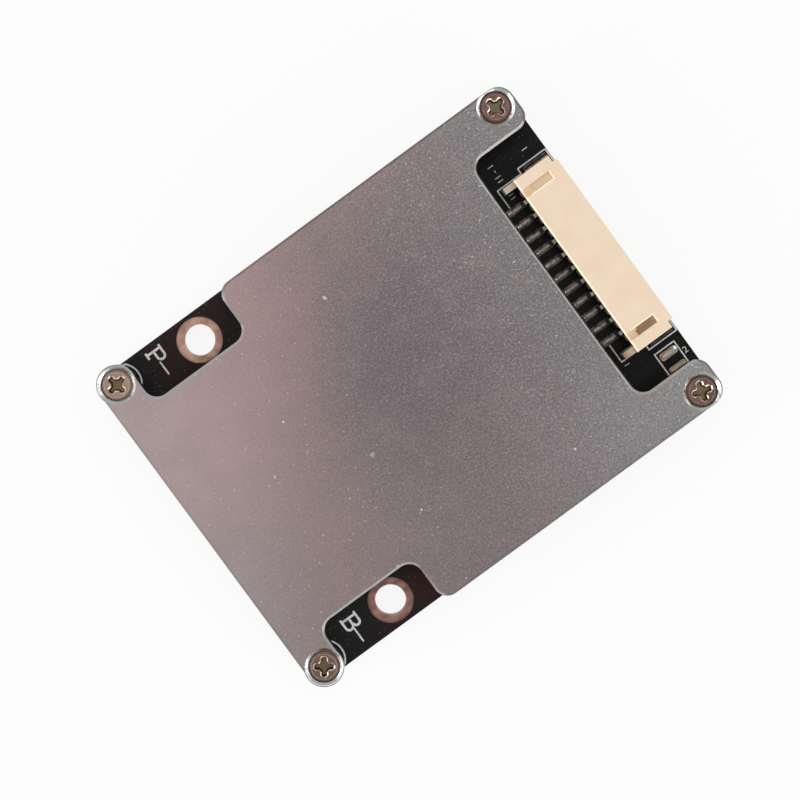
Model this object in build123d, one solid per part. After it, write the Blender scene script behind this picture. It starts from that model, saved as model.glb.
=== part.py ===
from build123d import *
import os

# A battery management board: a black circuit board with a flat aluminium heatsink plate screwed
# over it, two copper ring terminals and a side-entry cell connector.
# Frame: the origin is under the middle of the four screws, on the board's underside.
# +X runs along the board to the connector, +Y to the P- terminal and +Z out of the plate.
# All sizes are in millimetres.

# Screw pattern and circuit board
screw_spacing_x = 57.5
screw_spacing_y = 43.0
board_margin_x = 2.6
board_margin_y = 2.1
board_thickness = 1.6
board_corner_radius = 2.0

# Heatsink plate
plate_gap = 3.3
plate_thickness = 2.5
plate_margin_front = 2.55
plate_margin_rear = 2.35
plate_margin_y = 2.2
plate_edge_chamfer = 0.3
ear_radius = 2.5
ear_corner_radius = 2.1
notch_radius = 1.8
terminal_notch_start = 2.4
terminal_notch_length = 14.3
terminal_notch_depth = 4.4
connector_notch_depth = 6.65
connector_ear_width = 3.85

# Screws that hold the plate
screw_hole_diameter = 2.3
screw_head_diameter = 3.75
screw_head_height = 1.3
screw_head_chamfer = 0.3
screw_shank_diameter = 1.9
screw_length = 4.6
screw_head_sunk = 0.33
counterbore_clearance = 0.14
counterbore_chamfer = 0.42
recess_span = 2.5
recess_arm_width = 0.74
recess_end_bevel = 0.2
recess_inner_bevel = 0.27
recess_rim_chamfer = 0.12
recess_depth = 0.85
recess_taper = 12
screw_turns = (11, 17, -35, -15)

# Threaded spacers between board and plate
spacer_diameter = 3.8
spacer_thread_clearance = 0.05
spacer_pilot_diameter = 2.9
spacer_pilot_clearance = 0.05
spacer_pilot_short = 0.2

# Copper ring terminals
terminal_hole_diameter = 3.9
terminal_barrel_wall = 0.3
terminal_ring_diameter = 5.8
terminal_flange_thickness = 0.1
terminal_clearance = 0.03
terminal_from_screw_x = 11.1
terminal_from_screw_y = 1.3

# Connector housing
way_count = 11
way_pitch = 2.0
header_end_margin = 2.95
header_depth = 5.9
header_height = 5.5
header_front_inset = 0.25
header_cheek_setback = 0.67
header_lip_step = 0.9
header_end_wall = 0.55
header_mouth_chamfer = 0.2
header_roof = 0.8
header_floor = 0.7
header_rear_wall = 1.5
rear_pocket_depth = 0.65
rear_pocket_roof = 0.6
rear_rib_width = 0.8
rear_rib_setback = 0.15
header_rear_rounding = 0.2
slot_length = 4.15
slot_width = 1.07
slot_from_end = 1.55
slot_ramp_length = 1.3
slot_ramp_start = 0.12
slot_ramp_end = 0.5
slot_p_depth = 0.5
slot_corner_length = 0.45
slot_corner_width = 0.32
stub_length = 1.5
stub_width = 0.8
stub_height = 3.4

# Connector contacts, solder tabs and their pads
contact_width = 0.5
contact_thickness = 0.3
contact_height = 2.8
contact_reach = 2.9
contact_bend_radius = 0.25
contact_tip_chamfer = 0.1
contact_drop_from_wall = 0.4
contact_foot_from_wall = 2.45
contact_clearance = 0.03
pad_thickness = 0.1
pad_margin = 0.2
tab_from_front = 3.6
tab_upright_length = 2.7
tab_foot_length = 3.4
tab_foot_width = 0.55
tab_thickness = 0.2
tab_height = 2.4

# Bare sensor pads beside the connector
sensor_pad_length = 2.5
sensor_pad_width = 1.2
sensor_pad_pitch = 2.1
sensor_pad_from_edge = 2.67
sensor_pad_from_screw = 5.75

# Power transistors in two rows under the plate
transistors_per_row = 4
transistor_pitch = 8.0
transistor_row_pitch = 12.0
transistor_first_row_from_screw = 6.2
transistor_case_width = 6.6
transistor_case_depth = 6.1
transistor_case_height = 2.3
transistor_case_draft = 7
transistor_tab_width = 5.3
transistor_tab_thickness = 0.5
transistor_tab_reach = 1.0
transistor_tab_under_case = 4.8
transistor_lead_width = 0.8
transistor_lead_thickness = 0.5
transistor_lead_pitch = 4.56
transistor_lead_reach = 2.7
transistor_lead_height = 1.1
transistor_lead_drop = 1.2
transistor_lead_inside = 0.8
transistor_stub_reach = 0.8
thermal_pad_margin = 0.6

# Current shunts
shunt_count = 3
shunt_pitch = 9.0
shunt_length = 6.4
shunt_width = 3.2
shunt_height = 0.8
shunt_end_length = 1.1
shunt_end_thickness = 0.3
shunt_from_transistors = 2.0

# Control chip
chip_length = 10.0
chip_width = 3.9
chip_height = 1.6
chip_standoff = 0.15
chip_draft = 8
chip_leads_per_side = 8
chip_lead_pitch = 1.27
chip_lead_width = 0.42
chip_lead_thickness = 0.2
chip_lead_reach = 1.05
chip_lead_foot = 0.6
chip_lead_height = 0.8
chip_from_shunts = 1.6

# Balancing parts in three rows between the chip and the connector
cell_count = 10
cell_pitch = 3.2
row_gap = 1.4
capacitor_length = 2.0
capacitor_width = 1.25
capacitor_height = 0.8
switch_body_length = 2.9
switch_body_width = 1.3
switch_body_height = 1.0
switch_leg_span = 2.4
switch_leg_width = 0.4
switch_leg_thickness = 0.15
switch_leg_pitch = 0.95
resistor_length = 3.2
resistor_width = 1.6
resistor_height = 0.6
chip_part_cap = 0.45
chip_part_cap_step = 0.04

# Levels and places that follow from the sizes above
screw_x = screw_spacing_x / 2
screw_y = screw_spacing_y / 2
board_top = board_thickness
plate_bottom = board_top + plate_gap
plate_top = plate_bottom + plate_thickness
board_edge_x = screw_x + board_margin_x
board_edge_y = screw_y + board_margin_y
plate_rear_x = -screw_x - plate_margin_rear
plate_front_x = screw_x + plate_margin_front
plate_edge_y = screw_y + plate_margin_y
counterbore_depth = screw_head_height + screw_head_sunk
screw_seat = plate_top - counterbore_depth
terminal_x = -screw_x + terminal_from_screw_x
terminal_y = screw_y - terminal_from_screw_y
header_front = board_edge_x - header_front_inset
header_rear = header_front - header_depth
header_half = (way_count - 1) * way_pitch / 2 + header_end_margin
header_top = board_top + header_height
pad_top = board_top + pad_thickness
contact_z = board_top + contact_height
first_row_x = -screw_x + transistor_first_row_from_screw
transistor_top = board_top + transistor_case_height
last_lead_x = (
    first_row_x + transistor_row_pitch + transistor_case_depth / 2 + transistor_lead_reach
)
shunt_x = last_lead_x + shunt_from_transistors
chip_x = shunt_x + shunt_width / 2 + chip_from_shunts + chip_width / 2 + chip_lead_reach
capacitor_x = chip_x + chip_width / 2 + chip_lead_reach + row_gap + capacitor_length / 2
switch_x = capacitor_x + capacitor_length / 2 + row_gap + switch_leg_span / 2
resistor_x = switch_x + switch_leg_span / 2 + row_gap + resistor_length / 2

# The four screw places: P- corner, connector corner beside it, B- corner, last corner
screw_places = (
    (-screw_x, screw_y),
    (screw_x, screw_y),
    (-screw_x, -screw_y),
    (screw_x, -screw_y),
)


def block(x_low, x_high, y_low, y_high, z_low, z_high):
    """A box given by its two opposite corners."""
    size = (x_high - x_low, y_high - y_low, z_high - z_low)
    middle = ((x_low + x_high) / 2, (y_low + y_high) / 2, (z_low + z_high) / 2)
    return Pos(*middle) * Box(*size)


def rod(x, y, z_low, z_high, radius):
    """An upright cylinder between two levels."""
    return Pos(x, y, (z_low + z_high) / 2) * Cylinder(radius, z_high - z_low)


def spread(count, pitch):
    """Places of a row of equal steps, centred on zero."""
    return [(index - (count - 1) / 2) * pitch for index in range(count)]


def nearest_corners(outline, places):
    """The corners of a flat outline that lie nearest to the given places."""
    found = []
    for x, y in places:
        found.append(min(outline.vertices(), key=lambda corner: abs(corner.X - x) + abs(corner.Y - y)))
    return found


def upright_slab(points, width):
    """An outline of (x, z) points in the upright middle plane, given a width along Y."""
    return extrude(Plane.XZ * Polygon(*points, align=None), width / 2, both=True)


def bent_lead(points, width, thickness):
    """A flat lead stepped down from a case: points are its middle line as (x, z)."""
    path = Polyline(*[(x, 0, z) for x, z in points])
    start = Plane(path @ 0, x_dir=(0, 1, 0), z_dir=path % 0)
    return sweep(start * Rectangle(width, thickness), path=path, transition=Transition.RIGHT)


def make_board():
    """Circuit board with holes for the spacers and the terminals."""
    outline = RectangleRounded(2 * board_edge_x, 2 * board_edge_y, board_corner_radius)
    board = extrude(outline, board_thickness)
    pilot_hole = spacer_pilot_diameter / 2 + spacer_pilot_clearance
    for x, y in screw_places:
        board -= rod(x, y, 0, board_top, pilot_hole)
    barrel_hole = terminal_hole_diameter / 2 + terminal_barrel_wall + terminal_clearance
    flange_seat = terminal_ring_diameter / 2 + terminal_clearance
    for y in (terminal_y, -terminal_y):
        board -= rod(terminal_x, y, 0, board_top, barrel_hole)
        board -= rod(terminal_x, y, 0, terminal_flange_thickness, flange_seat)
    return board


def make_plate_outline():
    """Flat shape of the heatsink plate: three notches, and round ears behind the terminals."""
    plate_middle = (plate_rear_x + plate_front_x) / 2
    outline = Pos(plate_middle, 0) * Rectangle(plate_front_x - plate_rear_x, 2 * plate_edge_y)
    notch_left = -screw_x + terminal_notch_start
    notch_right = notch_left + terminal_notch_length
    notch_floor = screw_y - terminal_notch_depth
    notch_height = plate_edge_y - notch_floor
    for side in (1, -1):
        middle = (notch_left + notch_right) / 2, side * (notch_floor + notch_height / 2)
        outline -= Pos(*middle) * Rectangle(terminal_notch_length, notch_height)
    connector_wall = screw_x - connector_notch_depth
    connector_half = screw_y - connector_ear_width
    middle_x = (connector_wall + plate_front_x) / 2
    outline -= Pos(middle_x, 0) * Rectangle(plate_front_x - connector_wall, 2 * connector_half)
    inner = [(connector_wall, connector_half), (connector_wall, -connector_half)]
    inner += [(plate_front_x, connector_half), (plate_front_x, -connector_half)]
    ends = []
    for side in (1, -1):
        inner += [(notch_left, side * notch_floor), (notch_right, side * notch_floor)]
        inner += [(notch_right, side * plate_edge_y)]
        ends += [(notch_left, side * plate_edge_y), (plate_rear_x, side * plate_edge_y)]
        ends += [(plate_front_x, side * plate_edge_y)]
    outline = fillet(nearest_corners(outline, inner), notch_radius)
    outline = fillet(nearest_corners(outline, ends), ear_corner_radius)
    for side in (1, -1):
        outline += Pos(-screw_x, side * screw_y) * Circle(ear_radius)
    return outline


def make_plate():
    """Heatsink plate with a chamfered upper rim and a chamfered counterbore in each ear."""
    plate = Pos(0, 0, plate_bottom) * extrude(make_plate_outline(), plate_thickness)
    plate = chamfer(plate.faces().sort_by(Axis.Z)[-1].edges(), plate_edge_chamfer)
    bore = (screw_head_diameter + counterbore_clearance) / 2
    for x, y in screw_places:
        plate -= rod(x, y, plate_bottom, plate_top, screw_hole_diameter / 2)
        plate -= rod(x, y, screw_seat, plate_top, bore)
        rim = Cone(bore, bore + counterbore_chamfer, counterbore_chamfer)
        plate -= Pos(x, y, plate_top - counterbore_chamfer / 2) * rim
    return plate


def make_screw(turn):
    """Pan-head screw with a tapered cross recess, seat of the head at zero."""
    head = rod(0, 0, 0, screw_head_height, screw_head_diameter / 2)
    top_edge = head.edges().filter_by(GeomType.CIRCLE).sort_by(Axis.Z)[-1]
    head = chamfer(top_edge, screw_head_chamfer)
    cross = Rectangle(recess_span, recess_arm_width) + Rectangle(recess_arm_width, recess_span)
    corners = cross.vertices().sort_by(lambda corner: Vector(corner.X, corner.Y).length)
    inner = [(corner.X, corner.Y) for corner in corners[:4]]
    outer = [(corner.X, corner.Y) for corner in corners[4:]]
    cross = chamfer(nearest_corners(cross, inner), recess_inner_bevel)
    cross = chamfer(nearest_corners(cross, outer), recess_end_bevel)
    recess = extrude(Rot(0, 0, turn) * cross, -recess_depth, taper=recess_taper)
    head -= Pos(0, 0, screw_head_height) * recess
    rim = head.faces().sort_by(Axis.Z)[-1].inner_wires()[0]
    head = chamfer(rim.edges(), recess_rim_chamfer)
    return head + rod(0, 0, -screw_length, 0, screw_shank_diameter / 2)


def make_screws():
    """The four screws, each turned as it was left by the screwdriver."""
    placed = zip(screw_places, screw_turns)
    return [Pos(x, y, screw_seat) * make_screw(turn) for (x, y), turn in placed]


def make_spacers():
    """Threaded spacers: a collar between board and plate with a pilot in the board's hole."""
    thread = screw_shank_diameter / 2 + spacer_thread_clearance
    spacers = []
    for x, y in screw_places:
        spacer = rod(x, y, board_top, plate_bottom, spacer_diameter / 2)
        spacer += rod(x, y, spacer_pilot_short, board_top, spacer_pilot_diameter / 2)
        spacers.append(spacer - rod(x, y, 0, plate_bottom, thread))
    return spacers


def make_terminal(y):
    """Copper eyelet: a barrel through the board with a thin ring on each face."""
    hole = terminal_hole_diameter / 2
    upper = board_top + terminal_flange_thickness
    eyelet = rod(terminal_x, y, 0, upper, hole + terminal_barrel_wall)
    eyelet += rod(terminal_x, y, 0, terminal_flange_thickness, terminal_ring_diameter / 2)
    eyelet += rod(terminal_x, y, board_top, upper, terminal_ring_diameter / 2)
    return eyelet - rod(terminal_x, y, 0, upper, hole)


def make_contact(y):
    """One contact: a pin in the socket, a drop behind the rear wall and a foot on its pad."""
    foot_z = pad_top + contact_thickness / 2
    points = [
        (header_rear + header_rear_wall + contact_reach, 0, contact_z),
        (header_rear - contact_drop_from_wall, 0, contact_z),
        (header_rear - contact_drop_from_wall, 0, foot_z),
        (header_rear - contact_foot_from_wall, 0, foot_z),
    ]
    path = FilletPolyline(*points, radius=contact_bend_radius)
    start = Plane(path @ 0, x_dir=(0, 1, 0), z_dir=path % 0)
    strip = sweep(start * Rectangle(contact_width, contact_thickness), path=path)
    tip = strip.faces().sort_by(Axis.X)[-1]
    return Pos(0, y, 0) * chamfer(tip.edges(), contact_tip_chamfer)


def make_solder_tab(side):
    """Angle of tinned sheet in the end cheek's recess, with its foot turned out on its pad."""
    rear = header_front - tab_from_front
    y_inner = header_half - tab_thickness
    y_outer = header_half + tab_foot_width
    upright_top = pad_top + tab_height
    angle = block(rear, rear + tab_upright_length, y_inner, header_half, pad_top, upright_top)
    angle += block(rear, rear + tab_foot_length, y_inner, y_outer, pad_top, pad_top + tab_thickness)
    if side < 0:
        angle = mirror(angle, about=Plane.XZ)
    return angle


def make_slot(side, floor):
    """Space of one top slot: a ramp from the rear edge into a window with a stepped corner."""
    outer = header_half - slot_from_end
    inner = outer - slot_width
    ramp_end = header_rear + slot_ramp_length
    corner_end = ramp_end + slot_corner_length
    slot_end = header_rear + slot_length
    ramp = [
        (header_rear, header_top), (header_rear, header_top - slot_ramp_start),
        (corner_end, header_top - slot_ramp_end), (corner_end, header_top),
    ]
    slot = Pos(0, (inner + outer) / 2, 0) * upright_slab(ramp, slot_width)
    slot += block(ramp_end, slot_end, inner + slot_corner_width, outer, floor, header_top)
    slot += block(corner_end, slot_end, inner, outer, floor, header_top)
    if side < 0:
        slot = mirror(slot, about=Plane.XZ)
    return slot


def make_housing():
    """Side-entry connector housing, open to the front, with slots, stubs and contact holes."""
    lip_half = header_half - header_lip_step
    cheek_front = header_front - header_cheek_setback
    housing = block(header_rear, header_front, -lip_half, lip_half, board_top, header_top)
    housing += block(header_rear, cheek_front, -header_half, header_half, board_top, header_top)
    rear_top = housing.edges().filter_by(Axis.Y).group_by(Axis.Z)[-1].sort_by(Axis.X)[0]
    housing = fillet(rear_top, header_rear_rounding)
    cavity_half = lip_half - header_end_wall
    cavity_rear = header_rear + header_rear_wall
    cavity_floor = board_top + header_floor
    cavity_roof = header_top - header_roof
    housing -= block(cavity_rear, header_front, -cavity_half, cavity_half, cavity_floor, cavity_roof)
    mouth = housing.faces().sort_by(Axis.X)[-1].inner_wires()[0]
    housing = chamfer(mouth.edges(), header_mouth_chamfer)
    tab_rear = header_front - tab_from_front
    for side in (1, -1):
        housing -= make_slot(side, header_top - slot_p_depth if side > 0 else cavity_roof)
        y_low, y_high = sorted((side * (header_half - stub_width), side * header_half))
        stub_rear = header_rear - stub_length
        housing += block(stub_rear, header_rear, y_low, y_high, board_top, board_top + stub_height)
        y_low, y_high = sorted((side * (header_half - tab_thickness), side * header_half))
        tab_top = pad_top + tab_height
        housing -= block(tab_rear, tab_rear + tab_upright_length, y_low, y_high, board_top, tab_top)
        foot_top = pad_top + tab_thickness
        housing -= block(tab_rear, cheek_front, y_low, y_high, board_top, foot_top)
    pocket_end = header_rear + rear_pocket_depth
    pocket_half = header_half - stub_width
    pocket_top = header_top - rear_pocket_roof
    housing -= block(header_rear, pocket_end, -pocket_half, pocket_half, board_top, pocket_top)
    rib_rear = header_rear + rear_rib_setback
    for y in spread(way_count + 1, way_pitch):
        rib_y = (y - rear_rib_width / 2, y + rear_rib_width / 2)
        housing += block(rib_rear, pocket_end, *rib_y, board_top, pocket_top)
    hole_half_width = contact_width / 2 + contact_clearance
    hole_half_height = contact_thickness / 2 + contact_clearance
    for y in spread(way_count, way_pitch):
        housing -= block(
            header_rear, cavity_rear,
            y - hole_half_width, y + hole_half_width,
            contact_z - hole_half_height, contact_z + hole_half_height,
        )
    return housing


def make_header_pads():
    """Tinned pads on the board under the contact feet and the solder tabs."""
    pads = []
    x_low = header_rear - contact_foot_from_wall - pad_margin
    x_high = header_rear - contact_drop_from_wall + contact_thickness / 2 + pad_margin
    half_width = contact_width / 2 + pad_margin
    for y in spread(way_count, way_pitch):
        pads.append(block(x_low, x_high, y - half_width, y + half_width, board_top, pad_top))
    x_low = header_front - tab_from_front
    x_high = x_low + tab_foot_length
    y_near = header_half - tab_thickness
    y_far = header_half + tab_foot_width + pad_margin
    for side in (1, -1):
        y_low, y_high = sorted((side * y_near, side * y_far))
        pads.append(block(x_low, x_high, y_low, y_high, board_top, pad_top))
    return pads


def make_sensor_pads():
    """Two round-ended tinned pads for a sensor's wires."""
    x = board_edge_x - sensor_pad_from_edge
    outline = SlotOverall(sensor_pad_length, sensor_pad_width)
    pads = []
    for index in range(2):
        y = -screw_y + sensor_pad_from_screw - index * sensor_pad_pitch
        pads.append(Pos(x, y, board_top) * extrude(outline, pad_thickness))
    return pads


def make_transistor_leadframe(x, y):
    """Solder tab, two bent leads and a cut middle lead of a power transistor."""
    half_depth = transistor_case_depth / 2
    tab_z = board_top + transistor_tab_thickness
    half_tab = transistor_tab_width / 2
    tab_low = -half_depth - transistor_tab_reach
    tab_high = -half_depth + transistor_tab_under_case
    tab = block(tab_low, tab_high, -half_tab, half_tab, board_top, tab_z)
    upper = board_top + transistor_lead_height
    lower = board_top + transistor_lead_thickness / 2
    points = [
        (half_depth - transistor_lead_inside, upper),
        (half_depth + transistor_lead_drop, upper),
        (half_depth + transistor_lead_drop, lower),
        (half_depth + transistor_lead_reach, lower),
    ]
    lead = bent_lead(points, transistor_lead_width, transistor_lead_thickness)
    half_lead = transistor_lead_width / 2
    half_thick = transistor_lead_thickness / 2
    stub = block(
        half_depth - transistor_lead_inside, half_depth + transistor_stub_reach,
        -half_lead, half_lead, upper - half_thick, upper + half_thick,
    )
    pieces = [tab, stub]
    for offset in (-transistor_lead_pitch / 2, transistor_lead_pitch / 2):
        pieces.append(Pos(0, offset, 0) * lead)
    return [Pos(x, y, 0) * piece for piece in pieces]


def make_transistor_case(x, y, leadframe):
    """Moulded case of a power transistor, closed round its leadframe."""
    base = Pos(x, y, board_top) * Rectangle(transistor_case_depth, transistor_case_width)
    case = extrude(base, transistor_case_height, taper=transistor_case_draft)
    for piece in leadframe:
        case -= piece
    return case


def transistor_places():
    """Places of the power transistors, row by row."""
    places = []
    for row in range(2):
        for y in spread(transistors_per_row, transistor_pitch):
            places.append((first_row_x + row * transistor_row_pitch, y))
    return places


def make_thermal_pad():
    """Soft pad that fills the space between the transistor cases and the plate."""
    x_low = first_row_x - transistor_case_depth / 2 - thermal_pad_margin
    x_high = first_row_x + transistor_row_pitch + transistor_case_depth / 2 + thermal_pad_margin
    half_row = (transistors_per_row - 1) * transistor_pitch / 2
    half_y = half_row + transistor_case_width / 2 + thermal_pad_margin
    return block(x_low, x_high, -half_y, half_y, transistor_top, plate_bottom)


def make_shunt(y):
    """Current shunt: a resistive strip on two thicker ends."""
    half = shunt_length / 2
    x_low = shunt_x - shunt_width / 2
    x_high = shunt_x + shunt_width / 2
    lifted = board_top + shunt_end_thickness
    shunt = block(x_low, x_high, y - half, y + half, lifted, board_top + shunt_height)
    for side in (1, -1):
        y_low, y_high = sorted((side * (half - shunt_end_length), side * half))
        shunt += block(x_low, x_high, y + y_low, y + y_high, board_top, lifted)
    return shunt


def make_chip_leads():
    """Gull-wing leads of the control chip on both of its long sides."""
    half = chip_width / 2
    upper = board_top + chip_lead_height
    lower = board_top + chip_lead_thickness / 2
    points = [
        (half - chip_lead_thickness, upper),
        (half + chip_lead_reach - chip_lead_foot, upper),
        (half + chip_lead_reach - chip_lead_foot, lower),
        (half + chip_lead_reach, lower),
    ]
    lead = bent_lead(points, chip_lead_width, chip_lead_thickness)
    leads = []
    for y in spread(chip_leads_per_side, chip_lead_pitch):
        leads.append(Pos(chip_x, y, 0) * lead)
        leads.append(Pos(chip_x, y, 0) * mirror(lead, about=Plane.YZ))
    return leads


def make_chip_case(leads):
    """Moulded case of the control chip, closed round its leads."""
    base_z = board_top + chip_standoff
    base = Pos(chip_x, 0, base_z) * Rectangle(chip_width, chip_length)
    case = extrude(base, chip_height - chip_standoff, taper=chip_draft)
    for lead in leads:
        case -= lead
    return case


def make_chip_part(x, y, length, width, height):
    """Small soldered part: a flat body between two slightly larger tinned caps."""
    step = chip_part_cap_step
    half = length / 2
    part = block(
        x - half, x + half,
        y - width / 2 + step, y + width / 2 - step, board_top + step, board_top + height - step,
    )
    for side in (1, -1):
        x_low, x_high = sorted((side * (half - chip_part_cap), side * half))
        part += block(x + x_low, x + x_high, y - width / 2, y + width / 2, board_top, board_top + height)
    return part


def make_switch(x, y):
    """Small balance transistor: a moulded body on three flat legs."""
    half_body = switch_body_width / 2
    low = board_top + switch_leg_thickness
    body = block(
        x - half_body, x + half_body,
        y - switch_body_length / 2, y + switch_body_length / 2, low, board_top + switch_body_height,
    )
    half_leg = switch_leg_width / 2
    for side, offset in ((1, 0), (-1, switch_leg_pitch), (-1, -switch_leg_pitch)):
        x_low, x_high = sorted((0, side * switch_leg_span / 2))
        body += block(
            x + x_low, x + x_high, y + offset - half_leg, y + offset + half_leg, board_top, low
        )
    return body


def save(node, solids):
    """Write one piece, or a group of like pieces, to its own STEP file."""
    shape = solids[0] if len(solids) == 1 else Compound(children=solids)
    export_step(shape, os.path.join("parts", node + ".step"))


def main():
    os.makedirs("parts", exist_ok=True)
    save("circuit_board", [make_board()])
    save("heatsink_plate", [make_plate()])
    save("heatsink_screws", make_screws())
    save("threaded_spacers", make_spacers())
    save("terminal_ring_p", [make_terminal(terminal_y)])
    save("terminal_ring_b", [make_terminal(-terminal_y)])
    save("connector_housing", [make_housing()])
    for index, y in enumerate(spread(way_count, way_pitch)):
        save(f"connector_contact_{index + 1:02d}", [make_contact(-y)])
    save("connector_solder_tab_p", [make_solder_tab(1)])
    save("connector_solder_tab_b", [make_solder_tab(-1)])
    save("connector_solder_pads", make_header_pads())
    save("sensor_solder_pads", make_sensor_pads())
    for index, (x, y) in enumerate(transistor_places()):
        leadframe = make_transistor_leadframe(x, y)
        save(f"power_transistor_{index + 1}_leadframe", leadframe)
        save(f"power_transistor_{index + 1}_case", [make_transistor_case(x, y, leadframe)])
    save("thermal_pad", [make_thermal_pad()])
    for index, y in enumerate(spread(shunt_count, shunt_pitch)):
        save(f"current_shunt_{index + 1}", [make_shunt(y)])
    chip_leads = make_chip_leads()
    save("control_chip_leads", chip_leads)
    save("control_chip_case", [make_chip_case(chip_leads)])
    cells = spread(cell_count, cell_pitch)
    capacitor = (capacitor_length, capacitor_width, capacitor_height)
    resistor = (resistor_length, resistor_width, resistor_height)
    save("filter_capacitors", [make_chip_part(capacitor_x, y, *capacitor) for y in cells])
    save("balance_transistors", [make_switch(switch_x, y) for y in cells])
    save("balance_resistors", [make_chip_part(resistor_x, y, *resistor) for y in cells])


main()
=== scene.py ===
import math

import bmesh
import bpy
from mathutils import Matrix, Vector


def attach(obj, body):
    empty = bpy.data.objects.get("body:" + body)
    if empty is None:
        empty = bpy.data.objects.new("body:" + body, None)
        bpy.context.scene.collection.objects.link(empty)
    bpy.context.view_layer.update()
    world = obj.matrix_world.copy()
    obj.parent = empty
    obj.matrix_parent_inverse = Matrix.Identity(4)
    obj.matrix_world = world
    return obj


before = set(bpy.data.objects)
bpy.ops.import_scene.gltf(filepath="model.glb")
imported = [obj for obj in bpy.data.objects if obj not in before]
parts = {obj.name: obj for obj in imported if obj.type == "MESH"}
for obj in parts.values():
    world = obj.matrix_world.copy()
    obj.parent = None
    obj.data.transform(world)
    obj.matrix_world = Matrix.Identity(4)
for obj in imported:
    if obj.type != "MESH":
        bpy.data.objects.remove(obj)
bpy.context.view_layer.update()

# Circuit board: glass fibre laminate with copper tracks under a black solder mask.
# The mask is sprayed on and satin, gathers dust, and shows the tracks as faint raised bands.
# The sawn sides show the brown laminate, and small tinned holes join the copper layers.

MM = 0.001
PER_METRE = 1000
SCREW_X, SCREW_Y = 28.75, 21.5
RING_X, RING_Y = -17.65, 20.2
SPACER_SOLDER_R = 2.7
RING_SOLDER_R = 3.15
HOLE_PITCH = 1.8
HOLES_START = 40
HOLES_INNER_Y, HOLES_OUTER_Y, HOLES_END_X = 8.1, 15.3, 20.8


class Flow:
    """What leaves one socket of a finish, so that sums and masks can be written as sums."""

    def __init__(self, finish, socket):
        self.finish = finish
        self.socket = socket

    def work_out(self, operation, *values):
        return self.finish.node("ShaderNodeMath", {"operation": operation}, dict(enumerate(values)))

    def __add__(self, other):
        return self.work_out("ADD", self, other)

    def __radd__(self, other):
        return self.work_out("ADD", other, self)

    def __sub__(self, other):
        return self.work_out("SUBTRACT", self, other)

    def __rsub__(self, other):
        return self.work_out("SUBTRACT", other, self)

    def __mul__(self, other):
        return self.work_out("MULTIPLY", self, other)

    def __rmul__(self, other):
        return self.work_out("MULTIPLY", other, self)

    def __gt__(self, other):
        return self.work_out("GREATER_THAN", self, other)

    def __lt__(self, other):
        return self.work_out("LESS_THAN", self, other)

    def __abs__(self):
        return self.work_out("ABSOLUTE", self)

    def root(self):
        """The square root."""
        return self.work_out("SQRT", self)

    def wave(self):
        """A sine wave, from -1 to 1."""
        return self.work_out("SINE", self)

    def fold(self, width):
        """Rises from 0 to the width and falls back, over and over."""
        return self.work_out("PINGPONG", self, width)

    def capped(self):
        """The same, but never more than 1."""
        return self.work_out("MINIMUM", self, 1.0)


def distance(across, along):
    """How far away a place is that lies so far across and so far along."""
    return (across * across + along * along).root()


class Recipe:
    """The nodes of one finish, floor or room."""

    def __init__(self, tree):
        self.tree = tree

    def fill(self, node, sockets):
        """Links Flows to a node's sockets, and writes plain values there."""
        for key, value in sockets.items():
            if isinstance(value, Flow):
                self.tree.links.new(value.socket, node.inputs[key])
            else:
                node.inputs[key].default_value = value

    def node(self, kind, settings=None, sockets=None, output=0):
        """Makes a node, sets it and then its sockets, and gives what leaves one of its outputs."""
        made = self.tree.nodes.new(kind)
        for key, value in (settings or {}).items():
            setattr(made, key, value)
        self.fill(made, sockets or {})
        return Flow(self, made.outputs[output]) if len(made.outputs) else made


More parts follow.
